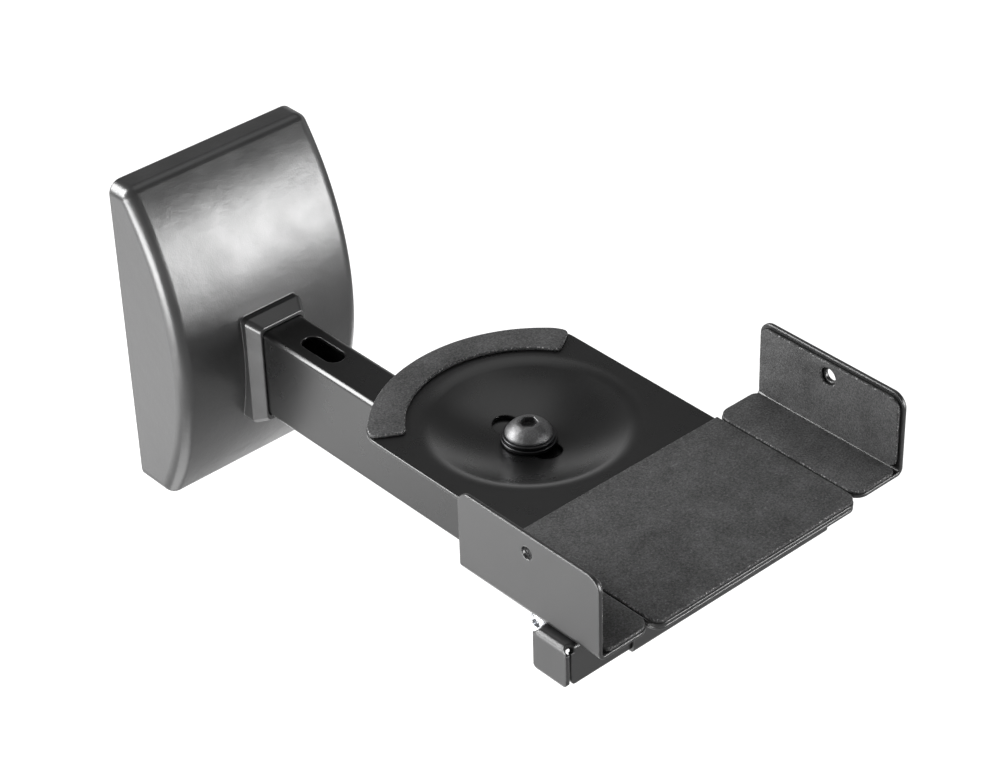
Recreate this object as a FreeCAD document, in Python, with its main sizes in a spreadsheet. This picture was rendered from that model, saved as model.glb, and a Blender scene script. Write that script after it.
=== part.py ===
import FreeCAD, Part
import Sketcher
import math
import os
import re

# Wall bracket that clamps one speaker: a moulded cover hides the wall plate, a tube
# carries a dished tray that swivels and tilts on one screw, and two padded jaws close
# on the speaker by a two-handed clamp screw.
# Frame: X across, -Y away from the wall, Z up; the origin is the middle of the wall
# plate's back face. Lengths are millimetres.

sizes = (
    # wall plate inside the cover's edges, and its four screw holes inside its own
    ("plateMarginX", 6.9), ("plateMarginZ", 8.5), ("plateThick", 3), ("plateCorner", 6),
    ("boltMarginX", 13), ("boltMarginZ", 14), ("boltHole", 6.5),
    ("windowWidth", 12), ("windowHeight", 28), ("windowCorner", 4),
    # arm: a drawn tube lying below the plate's middle
    ("tubeWidth", 20), ("tubeHeight", 40), ("tubeWall", 1.5), ("tubeCorner", 2.5),
    ("tubeDrop", 13.7), ("armTail", 24), ("pivotDepth", 187.7),
    ("cableSlotStart", 58), ("cableSlotLength", 22), ("cableSlotWidth", 9),
    ("capThick", 2), ("capPlug", 12), ("capWall", 2), ("capClear", 0.1), ("capEdge", 1),
    # wall cover
    ("coverWidth", 89.8), ("coverHeight", 141), ("coverRise", 0.5), ("coverDepth", 36),
    ("coverTopDepth", 10.24), ("coverBulgeDrop", 5), ("coverWall", 2.5), ("coverSideEdge", 5.5),
    ("coverCrease", 5),
    ("collarWidth", 28.2), ("collarHeight", 49.4), ("collarDepth", 38), ("collarCorner", 2.5),
    ("lipWidth", 22), ("lipHeight", 44), ("lipDepth", 43.8), ("collarClear", 0.3),
    ("collarSink", 8), ("collarEdge", 0.5),
    # tray
    ("trayTop", 33.5), ("trayThick", 1.5), ("trayWidth", 97.2), ("trayFront", 114.4),
    ("trayRear", 56.1), ("trayRearRadius", 62), ("trayShoulder", 13), ("trayCorner", 4.5),
    ("dishDepth", 9.5), ("dishRadius", 85), ("dishRim", 15),
    ("slotLength", 32.5), ("slotWidth", 11), ("slotShift", 1), ("sheetEdge", 0.3),
    # pads
    ("padThick", 1.5), ("padInset", 0.2), ("padCorner", 2.5), ("mainPadRear", 46.8),
    ("arcPadInner", 44.2), ("arcPadEndAngle", 32),
    # tilt and swivel joint
    ("seatFoot", 19), ("seatHead", 38), ("seatNeck", 8), ("seatRim", 2.5), ("seatGap", 0.3),
    ("pivotScrew", 10), ("pivotBore", 10.5), ("pivotHead", 17.5), ("pivotHeadHeight", 4.8),
    ("pivotLand", 0.6), ("pivotKey", 6), ("pivotKeyDepth", 2.8), ("pivotTip", 3), ("runClear", 0.06),
    ("lowerWasher", 20.5), ("upperWasher", 19.5), ("washerThick", 1.5), ("washerEdge", 0.4),
    ("underWasher", 20), ("underWasherThick", 2), ("pivotNut", 16), ("pivotNutHeight", 8.4),
    ("nutBevel", 30), ("spacerTube", 15),
    # guide channel under the tray and the two sliders in it
    ("guideThick", 1.2), ("guideEnd", 1.6), ("flangeEnd", 0.1), ("flangeFront", 12.25),
    ("flangeRear", 34), ("guideBend", 0.8), ("slideClear", 0.15), ("floorClear", 0.45),
    ("sliderWidth", 15.8), ("sliderHeight", 16.25), ("sliderThick", 1.5), ("sliderBend", 0.8),
    ("sliderApart", 12), ("sliderTail", 38), ("tabProud", 3.65), ("tabSlit", 1), ("tabRelief", 3.6),
    ("lugReach", 8.8), ("lugHole", 5.6), ("lugTop", 2), ("lugWidth", 10.2),
    ("tongueWidth", 11), ("tongueRise", 4.6), ("tongueWindow", 7),
    # jaws
    ("jawSpan", 145.9), ("jawLength", 67.6), ("jawRise", 31.4), ("jawThick", 1.5),
    ("jawBend", 1.2), ("jawCorner", 5.5), ("footClear", 0.6), ("footCorner", 5.5),
    ("jawHole", 5), ("jawHoleDrop", 7.5), ("sidePadTop", 1.7), ("sidePadSide", 1.2),
    ("padHole", 7), ("padGap", 0.1), ("padHeel", 3),
    # clamp screw
    ("clampDrop", 7.3), ("clampScrew", 5), ("clampHead", 9.5), ("clampHeadHeight", 2.75),
    ("clampLand", 0.35), ("nutEdge", 0.5),
    ("clampKey", 3), ("clampKeyDepth", 1.6), ("headRoom", 5.4), ("tailRoom", 8.6),
    ("clampTip", 0.6), ("clampNut", 8), ("clampNutHeight", 4), ("clipRing", 9), ("clipThick", 0.8),
    ("clipPlay", 0.1),
)

doc = FreeCAD.newDocument("SpeakerWallBracket")
sheet = doc.addObject("Spreadsheet::Sheet", "Sizes")
for row, (alias, number) in enumerate(sizes, 1):
    sheet.set("A%d" % row, alias)
    sheet.set("B%d" % row, str(number))
    sheet.setAlias("B%d" % row, alias)
doc.recompute()
names = {alias for alias, number in sizes}

# Lengths that follow from the sizes, as expressions.
# the cover's front: one arc from its top edge, through its deepest point, to its foot
coverCrown = "(coverHeight / 2 + coverRise)"
coverFoot = "(coverHeight / 2 - coverRise)"
coverSag = "(coverDepth - coverTopDepth)"
coverRadius = "(((%s + coverBulgeDrop)^2 + %s^2) / (2 * %s))" % (coverCrown, coverSag, coverSag)
plateWidth = "(coverWidth - 2 * plateMarginX)"
plateHeight = "(coverHeight - 2 * plateMarginZ)"
boltSpanX = "(%s - 2 * boltMarginX)" % plateWidth
boltSpanZ = "(%s - 2 * boltMarginZ)" % plateHeight
tubeTop = "tubeHeight / 2 - tubeDrop"
tubeUnder = "-tubeHeight / 2 - tubeDrop"
# the tray's dish: a sphere that runs into the flat sheet over a rounded rim
dishCentre = "(dishRadius - dishDepth)"
dishReach = "sqrt((dishRadius + dishRim)^2 - (%s + dishRim)^2)" % dishCentre
dishShare = "(dishRadius / (dishRadius + dishRim))"
# the flat washer's underside, held off the dish where its rim comes nearest
washerSeat = "trayTop + %s - sqrt(dishRadius^2 - (lowerWasher / 2)^2) + seatGap" % dishCentre
headSeat = "%s + 2 * washerThick" % washerSeat
# a slider's web lies under the tray, and the jaw's foot on that web
webTop = "(-trayThick - slideClear)"
footTop = "(%s + jawThick)" % webTop
sliderOut = "(sliderApart / 2 + sliderWidth)"
sliderFoot = "(%s - sliderHeight)" % webTop
guideInside = "(%s + slideClear)" % sliderOut
guideFloor = "(%s - floorClear)" % sliderFoot
guideWall = "(%s + guideThick)" % guideInside
# the guide's front flange ends with the tray, which places the clamp under it
clampReach = "(trayFront - flangeFront - %s)" % guideWall
jawFace = "(jawSpan / 2)"
footWidth = "(jawSpan / 2 - trayWidth / 2 - footClear)"
tabReach = "(jawSpan / 2 + tabProud)"
headReach = "(%s - sliderThick - headRoom)" % tabReach
tailReach = "(%s - sliderThick - tailRoom)" % tabReach


def bound(text):
    # the same expression, read from the sheet by the other objects
    return re.sub(r"[A-Za-z]\w*", lambda word: "Sizes." + word.group(0) if word.group(0) in names
                  else word.group(0), text)


def value(text):
    return float(sheet.evalExpression(text))


def newBody(label, x="0", y="0", z="0"):
    body = doc.addObject("PartDesign::Body", label)
    body.Label = label
    for axis, text in (("x", x), ("y", y), ("z", z)):
        if text != "0":
            body.setExpression("Placement.Base." + axis, bound(text))
    return body


def newSketch(body, name, role, lift="0"):
    sketch = body.newObject("Sketcher::SketchObject", name)
    plane = next(item for item in body.Origin.OriginFeatures if item.Role == role)
    sketch.AttachmentSupport = [(plane, "")]
    sketch.MapMode = "FlatFace"
    if lift != "0":
        sketch.setExpression("AttachmentOffset.Base.z", bound(lift))
    return sketch


def pin(sketch, geometry, point, x, y):
    # holds one point of the sketch at its lengths from the sketch's origin
    for kind, text, axis in (("DistanceX", x, -2), ("DistanceY", y, -1)):
        if text == "0":
            sketch.addConstraint(Sketcher.Constraint("PointOnObject", geometry, point, axis))
        else:
            held = Sketcher.Constraint(kind, -1, 1, geometry, point, value(text))
            index = sketch.addConstraint(held)
            sketch.setExpression("Constraints[%d]" % index, bound(text))


def radius(sketch, geometry, text):
    index = sketch.addConstraint(Sketcher.Constraint("Radius", geometry, value(text)))
    sketch.setExpression("Constraints[%d]" % index, bound(text))


def circle(sketch, x, y, size):
    centre = FreeCAD.Vector(value(x), value(y), 0)
    made = Part.Circle(centre, FreeCAD.Vector(0, 0, 1), value(size) / 2)
    geometry = sketch.addGeometry(made, False)
    pin(sketch, geometry, 3, x, y)
    index = sketch.addConstraint(Sketcher.Constraint("Diameter", geometry, value(size)))
    sketch.setExpression("Constraints[%d]" % index, bound(size))


def outline(sketch, corners):
    # Closed chain. A corner is (x, y), or (x, y, radius, turn) where an arc leaves it:
    # turn 1 runs anticlockwise, -1 clockwise.
    count = len(corners)
    starts = []
    for index, corner in enumerate(corners):
        after = corners[(index + 1) % count]
        a = FreeCAD.Vector(value(corner[0]), value(corner[1]), 0)
        b = FreeCAD.Vector(value(after[0]), value(after[1]), 0)
        if len(corner) == 2:
            geometry = sketch.addGeometry(Part.LineSegment(a, b), False)
            starts.append((geometry, 1, 2))
            continue
        reach = value(corner[2])
        half = (b - a) / 2
        rise = math.sqrt(max(reach ** 2 - half.Length ** 2, 0))
        side = FreeCAD.Vector(-half.y, half.x, 0).normalize() * rise * corner[3]
        centre = a + half + side
        first, last = (a, b) if corner[3] > 0 else (b, a)
        angles = [math.atan2(p.y - centre.y, p.x - centre.x) for p in (first, last)]
        if angles[1] < angles[0]:
            angles[1] += 2 * math.pi
        whole = Part.Circle(centre, FreeCAD.Vector(0, 0, 1), reach)
        geometry = sketch.addGeometry(Part.ArcOfCircle(whole, angles[0], angles[1]), False)
        starts.append((geometry, 1, 2) if corner[3] > 0 else (geometry, 2, 1))
    for index in range(count):
        geometry, start, end = starts[index]
        nextOne = starts[(index + 1) % count]
        sketch.addConstraint(Sketcher.Constraint("Coincident", geometry, end, nextOne[0], nextOne[1]))
    for index, corner in enumerate(corners):
        geometry, start, end = starts[index]
        pin(sketch, geometry, start, corner[0], corner[1])
        if len(corner) > 2:
            radius(sketch, geometry, corner[2])


def box(sketch, left, right, low, high):
    outline(sketch, ((left, low), (right, low), (right, high), (left, high)))


def roundBox(sketch, width, height, corner, x="0", y="0"):
    # rounded rectangle about (x, y)
    corner = "(%s)" % corner
    place = {}
    for name, side, middle in (("l", "-", x), ("r", "", x), ("b", "-", y), ("t", "", y)):
        size = width if name in "lr" else height
        place[name] = "%s + %s(%s) / 2" % (middle, side, size)
        place[name + name] = "%s + %s((%s) / 2 - %s)" % (middle, side, size, corner)
    outline(sketch, (
        (place["ll"], place["b"]), (place["rr"], place["b"], corner, 1),
        (place["r"], place["bb"]), (place["r"], place["tt"], corner, 1),
        (place["rr"], place["t"]), (place["ll"], place["t"], corner, 1),
        (place["l"], place["tt"]), (place["l"], place["bb"], corner, 1)))


def slot(sketch, length, width, y):
    # round-ended slot along the sketch's second axis, its middle at (0, y)
    reach = value(width) / 2
    axis = FreeCAD.Vector(0, 0, 1)
    ends = [FreeCAD.Vector(0, value("%s %s (%s - %s) / 2" % (y, sign, length, width)), 0) for sign in "+-"]
    side = FreeCAD.Vector(reach, 0, 0)
    sketch.addGeometry(Part.LineSegment(ends[1] + side, ends[0] + side), False)
    sketch.addGeometry(Part.ArcOfCircle(Part.Circle(ends[0], axis, reach), 0, math.pi), False)
    sketch.addGeometry(Part.LineSegment(ends[0] - side, ends[1] - side), False)
    sketch.addGeometry(Part.ArcOfCircle(Part.Circle(ends[1], axis, reach), math.pi, 2 * math.pi), False)
    for geometry in range(4):
        sketch.addConstraint(Sketcher.Constraint("Tangent", geometry, 2, (geometry + 1) % 4, 1))
    for geometry, sign in ((1, "+"), (3, "-")):
        pin(sketch, geometry, 3, "0", "%s %s (%s - %s) / 2" % (y, sign, length, width))
        radius(sketch, geometry, width + " / 2")


def hexagon(sketch, flats, x="0", y="0"):
    reach = "%s / sqrt(3)" % flats
    half = "%s / 2" % flats
    short = "%s / 2" % reach
    places = ((reach, "0"), (short, half), ("-" + short, half), ("-" + reach, "0"),
              ("-" + short, "-" + half), (short, "-" + half))
    outline(sketch, [("%s + %s" % (x, px) if x != "0" else px,
                      "%s + %s" % (y, py) if y != "0" else py) for px, py in places])


def pad(body, sketch, length, symmetric=False, reverse=False):
    feature = body.newObject("PartDesign::Pad", sketch.Name + "Pad")
    feature.Profile = sketch
    feature.setExpression("Length", bound(length))
    feature.SideType = "Symmetric" if symmetric else "One side"
    feature.Reversed = reverse
    doc.recompute()
    return feature


def pocket(body, sketch, length=None, symmetric=False, reverse=False):
    # a cut that takes nothing away points the wrong way, and stops the build
    before = body.Tip.Shape.Volume
    feature = body.newObject("PartDesign::Pocket", sketch.Name + "Cut")
    feature.Profile = sketch
    if length is None:
        feature.Type = "ThroughAll"
    else:
        feature.setExpression("Length", bound(length))
    feature.SideType = "Symmetric" if symmetric else "One side"
    feature.Reversed = reverse
    doc.recompute()
    if feature.Shape.isNull() or feature.Shape.Volume > before * (1 - 1e-7):
        raise RuntimeError(feature.Name + " cuts nothing")
    return feature


def revolve(body, sketch, axis="V_Axis"):
    feature = body.newObject("PartDesign::Revolution", sketch.Name + "Turn")
    feature.Profile = sketch
    feature.ReferenceAxis = (sketch, [axis])
    feature.Angle = 360
    doc.recompute()
    return feature


def rounded(body, name, text, test, kind="Fillet"):
    # fillets or chamfers the edges of the body so far that the test picks
    base = body.Tip
    edges = ["Edge%d" % (index + 1) for index, edge in enumerate(base.Shape.Edges) if test(edge)]
    if not edges:
        raise RuntimeError(name + " finds no edge")
    feature = body.newObject("PartDesign::" + kind, name)
    feature.Base = (base, edges)
    feature.setExpression("Radius" if kind == "Fillet" else "Size", bound(text))
    doc.recompute()
    return feature


def near(a, b):
    return abs(a - b) < 0.001


def along(edge, axis):
    # true for a straight edge parallel to an axis, 0 for X, 1 for Y, 2 for Z
    span = edge.valueAt(edge.LastParameter) - edge.valueAt(edge.FirstParameter)
    return abs(span[axis]) > 0.01 and near(abs(span[axis]), edge.Length)


def middle(edge):
    return edge.valueAt((edge.FirstParameter + edge.LastParameter) / 2)


def onPlane(edge, axis, place):
    # true for an edge that lies whole in the plane across that axis
    ends = (edge.valueAt(edge.FirstParameter), edge.valueAt(edge.LastParameter), middle(edge))
    return all(abs(point[axis] - place) < 0.001 for point in ends)


def wallPlate():
    body = newBody("wall_plate")
    face = newSketch(body, "plateFace", "XZ_Plane")
    roundBox(face, plateWidth, plateHeight, "plateCorner")
    pad(body, face, "plateThick")
    # the cable leaves the wall through a window inside the tube
    window = newSketch(body, "plateWindow", "XZ_Plane", "plateThick")
    roundBox(window, "windowWidth", "windowHeight", "windowCorner", y="-tubeDrop")
    pocket(body, window)
    place = newSketch(body, "boltPlace", "XZ_Plane", "plateThick")
    circle(place, "-%s / 2" % boltSpanX, "-%s / 2" % boltSpanZ, "boltHole")
    doc.recompute()
    hole = body.newObject("PartDesign::Hole", "boltHoleCut")
    hole.Profile = place
    hole.DepthType = "ThroughAll"
    hole.setExpression("Diameter", bound("boltHole"))
    doc.recompute()
    grid = body.newObject("PartDesign::LinearPattern", "boltHoles")
    grid.Originals = [hole]
    grid.Direction = (place, ["H_Axis"])
    grid.Direction2 = (place, ["V_Axis"])
    grid.Occurrences = 2
    grid.Occurrences2 = 2
    grid.setExpression("Length", bound(boltSpanX))
    grid.setExpression("Length2", bound(boltSpanZ))
    body.Tip = grid
    doc.recompute()
    return body


def armTube():
    body = newBody("arm_tube")
    section = newSketch(body, "tubeSection", "XZ_Plane", "plateThick")
    roundBox(section, "tubeWidth", "tubeHeight", "tubeCorner", y="-tubeDrop")
    inside = "(tubeWidth - 2 * tubeWall)"
    insideHeight = "(tubeHeight - 2 * tubeWall)"
    roundBox(section, inside, insideHeight, "(tubeCorner - tubeWall)", y="-tubeDrop")
    pad(body, section, "pivotDepth + armTail - plateThick")
    cable = newSketch(body, "cableSlot", "XY_Plane", tubeTop)
    slot(cable, "cableSlotLength", "cableSlotWidth", y="-cableSlotStart - cableSlotLength / 2")
    pocket(body, cable, "2 * tubeWall")
    through = newSketch(body, "pivotHoles", "XY_Plane", tubeTop)
    circle(through, "0", "-pivotDepth", "pivotBore")
    pocket(body, through)
    return body


def armEndCap():
    body = newBody("arm_end_cap", y="-pivotDepth - armTail", z="-tubeDrop")
    face = newSketch(body, "capFace", "XZ_Plane")
    roundBox(face, "tubeWidth", "tubeHeight", "tubeCorner")
    pad(body, face, "capThick")
    rounded(body, "capRim", "capEdge", lambda edge: onPlane(edge, 1, -value("capThick")))
    plug = newSketch(body, "capPlugSection", "XZ_Plane")
    slack = "2 * (tubeWall + capClear)"
    wide = "(tubeWidth - %s)" % slack
    tall = "(tubeHeight - %s)" % slack
    roundBox(plug, wide, tall, "tubeCorner - tubeWall")
    roundBox(plug, "(%s - 2 * capWall)" % wide, "(%s - 2 * capWall)" % tall, "(capWall / 4)")
    pad(body, plug, "capPlug", reverse=True)
    return body


def pivotSpacer():
    # keeps the tube's walls apart where the screw clamps them
    tall = "tubeHeight - 2 * tubeWall"
    low = "tubeWall - tubeHeight / 2 - tubeDrop"
    outer = doc.addObject("Part::Cylinder", "spacerOuter")
    inner = doc.addObject("Part::Cylinder", "spacerInner")
    for solid, across in ((outer, "spacerTube"), (inner, "pivotBore")):
        solid.setExpression("Radius", bound(across + " / 2"))
        solid.setExpression("Height", bound(tall))
        solid.setExpression("Placement.Base.y", bound("-pivotDepth"))
        solid.setExpression("Placement.Base.z", bound(low))
    ring = doc.addObject("Part::Cut", "pivot_spacer")
    ring.Base = outer
    ring.Tool = inner
    ring.Label = "pivot_spacer"
    doc.recompute()
    return ring


def pivotSeat():
    # turned seat on the tube: a hollow spherical top lets the dish tilt and swivel
    body = newBody("pivot_seat", y="-pivotDepth", z=tubeTop)
    under = "(dishRadius + trayThick + seatGap)"
    centre = "(trayTop + %s - (%s))" % (dishCentre, tubeTop)
    profile = newSketch(body, "seatProfile", "YZ_Plane")
    bore = "pivotBore / 2"
    head = "seatHead / 2"
    top = "(%s - sqrt(%s^2 - (%s)^2))" % (centre, under, "%s")
    outline(profile, (
        (bore, "0"), ("seatFoot / 2", "0"), ("seatFoot / 2", "seatNeck"),
        (head, "%s - seatRim" % (top % head)),
        (head, top % head, under, -1), (bore, top % bore)))
    revolve(body, profile)
    return body


def buttonScrew(body, head, headHeight, land, shank, length, tip, key, keyDepth):
    # button head above the seat, shank below; turned about the body's Z axis
    crown = "(%s / sqrt(3) + %s)" % (key, land)
    domeCentre = "((%s^2 + %s^2 - (%s / 2)^2 - %s^2) / (2 * (%s - %s)))" % (
        crown, headHeight, head, land, headHeight, land)
    dome = "sqrt((%s / 2)^2 + (%s - %s)^2)" % (head, land, domeCentre)
    profile = newSketch(body, body.Name + "Profile", "YZ_Plane")
    outline(profile, (
        ("0", "-(%s)" % length), ("%s / 2 - %s" % (shank, tip), "-(%s)" % length),
        ("%s / 2" % shank, "%s - (%s)" % (tip, length)), ("%s / 2" % shank, "0"),
        ("%s / 2" % head, "0"), ("%s / 2" % head, land, dome, 1),
        (crown, headHeight), ("0", headHeight)))
    revolve(body, profile)
    socket = newSketch(body, body.Name + "Socket", "XY_Plane", headHeight)
    hexagon(socket, key)
    pocket(body, socket, keyDepth)
    return body


def washer(label, size, bore, thick, edge, y="0", z="0"):
    body = newBody(label, y=y, z=z)
    face = newSketch(body, label + "Face", "XY_Plane")
    circle(face, "0", "0", size)
    circle(face, "0", "0", bore)
    pad(body, face, thick)
    outside = value(size) / 2
    rounded(body, label + "Edge", edge, lambda rim: near(rim.Length, 2 * math.pi * outside))
    return body


def hexNut(label, flats, bore, height, edge):
    body = newBody(label)
    face = newSketch(body, label + "Face", "XY_Plane")
    hexagon(face, flats)
    circle(face, "0", "0", bore)
    pad(body, face, height)
    # both faces are turned down to the flats
    cone = newSketch(body, label + "Turned", "YZ_Plane")
    reach = "%s / sqrt(3)" % flats
    inner = "%s / 2 - %s" % (flats, edge)
    past = reach + " + " + edge
    fall = "(%s - (%s)) * tan(nutBevel * 1deg)" % (reach, inner)
    for low, high in (("0", fall), (height, "%s - %s" % (height, fall))):
        outline(cone, ((inner, low), (past, low), (past, high), (reach, high)))
    doc.recompute()
    before = body.Tip.Shape.Volume
    turned = body.newObject("PartDesign::Groove", label + "Groove")
    turned.Profile = cone
    turned.ReferenceAxis = (cone, ["V_Axis"])
    turned.Angle = 360
    doc.recompute()
    if turned.Shape.Volume > before * (1 - 1e-7):
        raise RuntimeError(label + " is not turned")
    return body


def wallCover():
    body = newBody("wall_cover")
    # the front is one arc in side view, its deepest point a little below the middle
    side = newSketch(body, "coverSide", "YZ_Plane")
    hub = "(%s - coverDepth)" % coverRadius
    top = "(%s - sqrt(%s^2 - (%s + coverBulgeDrop)^2))" % (hub, coverRadius, coverCrown)
    low = "(%s - sqrt(%s^2 - (%s - coverBulgeDrop)^2))" % (hub, coverRadius, coverFoot)
    outline(side, (("0", "-" + coverFoot), ("0", coverCrown), (top, coverCrown, coverRadius, 1),
                   (low, "-" + coverFoot)))
    pad(body, side, "coverWidth", symmetric=True)
    flank = value("coverWidth") / 2
    rounded(body, "coverCreases", "coverCrease", lambda edge: along(edge, 0)
            and not near(middle(edge).y, 0))
    rounded(body, "coverSides", "coverSideEdge", lambda edge: not onPlane(edge, 1, 0)
            and (onPlane(edge, 0, flank) or onPlane(edge, 0, -flank)))
    # hollow behind, open to the wall
    hollow = newSketch(body, "coverHollow", "YZ_Plane")
    inside = "(%s - coverWall)" % coverRadius
    innerCrown = "(%s - coverWall)" % coverCrown
    innerFoot = "(%s - coverWall)" % coverFoot
    innerTop = "(%s - sqrt(%s^2 - (%s + coverBulgeDrop)^2))" % (hub, inside, innerCrown)
    innerLow = "(%s - sqrt(%s^2 - (%s - coverBulgeDrop)^2))" % (hub, inside, innerFoot)
    outline(hollow, (("0", "-" + innerFoot), ("0", innerCrown), (innerTop, innerCrown, inside, 1),
                     (innerLow, "-" + innerFoot)))
    pocket(body, hollow, "coverWidth - 2 * coverWall", symmetric=True)
    cheek = value("coverWidth / 2 - coverWall")
    rounded(body, "coverInnerCreases", "coverCrease - coverWall", lambda edge: along(edge, 0)
            and near(edge.Length, 2 * cheek) and not near(middle(edge).y, 0))
    rounded(body, "coverInnerSides", "coverSideEdge - coverWall", lambda edge:
            not onPlane(edge, 1, 0) and (onPlane(edge, 0, cheek) or onPlane(edge, 0, -cheek)))
    # collar: a step out of the front, then a bevel to the lip round the arm
    base = newSketch(body, "collarBase", "XZ_Plane", "collarDepth")
    roundBox(base, "collarWidth", "collarHeight", "collarCorner", y="-tubeDrop")
    pad(body, base, "collarSink", reverse=True)
    foot = newSketch(body, "collarFoot", "XZ_Plane", "collarDepth")
    roundBox(foot, "collarWidth", "collarHeight", "collarCorner", y="-tubeDrop")
    lip = newSketch(body, "collarLip", "XZ_Plane", "lipDepth")
    roundBox(lip, "lipWidth", "lipHeight", "collarCorner", y="-tubeDrop")
    doc.recompute()
    bevel = body.newObject("PartDesign::AdditiveLoft", "collarBevel")
    bevel.Profile = foot
    bevel.Sections = [lip]
    bevel.Ruled = True
    doc.recompute()
    rounded(body, "collarEdges", "collarEdge", lambda edge: onPlane(edge, 1, -value("lipDepth"))
            or onPlane(edge, 1, -value("collarDepth")))
    through = newSketch(body, "collarHole", "XZ_Plane", "lipDepth")
    roundBox(through, "tubeWidth + 2 * collarClear", "tubeHeight + 2 * collarClear",
             "tubeCorner + collarClear", y="-tubeDrop")
    pocket(body, through)
    return body


def trayOutline(sketch, inset, rear=True):
    # The tray's edge, drawn in by the inset: straight front and sides, and a rear in
    # three arcs.
    half = "(trayWidth / 2 - %s)" % inset
    front = "(%s - trayFront)" % inset
    corner = "(trayCorner - %s)" % inset
    shoulder = "(trayShoulder - %s)" % inset
    main = "(trayRearRadius - %s)" % inset
    hub = "(trayRear - trayRearRadius)"
    across = "(%s - %s)" % (half, shoulder)
    blend = "(%s + sqrt((%s - %s)^2 - %s^2))" % (hub, main, shoulder, across)
    share = "(%s / (%s - %s))" % (main, main, shoulder)
    joinX = "(%s * %s)" % (across, share)
    joinY = "(%s + (%s - %s) * %s)" % (hub, blend, hub, share)
    outline(sketch, (
        ("%s - %s" % (corner, half), front), ("%s - %s" % (half, corner), front, corner, 1),
        (half, "%s + %s" % (front, corner)), (half, blend, shoulder, 1),
        (joinX, joinY, main, 1), ("-" + joinX, joinY, shoulder, 1),
        ("-" + half, blend), ("-" + half, "%s + %s" % (front, corner), corner, 1)))


def onTray(label):
    # bodies on the tray share its frame: the pivot's axis, at the tray's top face
    return newBody(label, y="-pivotDepth", z="trayTop")


def tray():
    body = onTray("tray")
    sheetFace = newSketch(body, "trayFace", "XY_Plane", "-trayThick")
    trayOutline(sheetFace, "0")
    pad(body, sheetFace, "trayThick")
    rounded(body, "trayEdges", "sheetEdge", lambda edge: onPlane(edge, 2, 0)
            or onPlane(edge, 2, -value("trayThick")))
    opening = newSketch(body, "dishOpening", "XY_Plane")
    circle(opening, "0", "0", "2 * " + dishReach)
    pocket(body, opening)
    # the drawn dish: one sheet's section turned about the pivot
    dish = newSketch(body, "dishSection", "YZ_Plane")
    turnY = "(%s * %s)" % (dishReach, dishShare)
    turnZ = "(%s - (%s + dishRim) * %s)" % (dishCentre, dishCentre, dishShare)
    outer = "((dishRadius + trayThick) / (dishRadius + dishRim))"
    underY = "(%s * %s)" % (dishReach, outer)
    underZ = "(%s - (%s + dishRim) * %s)" % (dishCentre, dishCentre, outer)
    outline(dish, (
        ("0", "-dishDepth - trayThick", "dishRadius + trayThick", 1),
        (underY, underZ, "dishRim - trayThick", -1), (dishReach, "-trayThick"),
        (dishReach, "0", "dishRim", 1), (turnY, turnZ, "dishRadius", -1), ("0", "-dishDepth")))
    revolve(body, dish)
    travel = newSketch(body, "tiltSlot", "XY_Plane")
    slot(travel, "slotLength", "slotWidth", "slotShift")
    pocket(body, travel)
    return body


def mainPad():
    body = onTray("main_pad")
    face = newSketch(body, "mainPadFace", "XY_Plane")
    trayOutline(face, "padInset")
    pad(body, face, "padThick")
    rear = newSketch(body, "mainPadRear", "XY_Plane", "padThick")
    box(rear, "-trayWidth", "trayWidth", "-mainPadRear", "2 * trayRear")
    pocket(body, rear)
    return body


def arcPad():
    body = onTray("arc_pad")
    face = newSketch(body, "arcPadFace", "XY_Plane")
    trayOutline(face, "padInset")
    pad(body, face, "padThick")
    inner = newSketch(body, "arcPadInner", "XY_Plane", "padThick")
    circle(inner, "0", "0", "2 * arcPadInner")
    pocket(body, inner)
    # square ends, on lines through the pivot
    ends = newSketch(body, "arcPadEnds", "XY_Plane", "padThick")
    rise = "(trayWidth * tan(arcPadEndAngle * 1deg))"
    outline(ends, (("0", "0"), ("-trayWidth", rise), ("-trayWidth", "-2 * trayFront"),
                   ("trayWidth", "-2 * trayFront"), ("trayWidth", rise)))
    pocket(body, ends)
    rounded(body, "arcPadCorners", "padCorner", lambda edge: along(edge, 2)
            and middle(edge).y < value("trayWidth * tan(arcPadEndAngle * 1deg) / 2") + 1)
    return body


def onClamp(label, turned=False):
    # Bodies of the clamp share a frame midway between the jaws, at the tray's top face.
    # The right jaw's bodies are the left ones turned half round.
    body = newBody(label, y="-pivotDepth - " + clampReach, z="trayTop")
    if turned:
        body.Placement = FreeCAD.Placement(body.Placement.Base, FreeCAD.Rotation(180, 0, 0))
    return body


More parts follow.
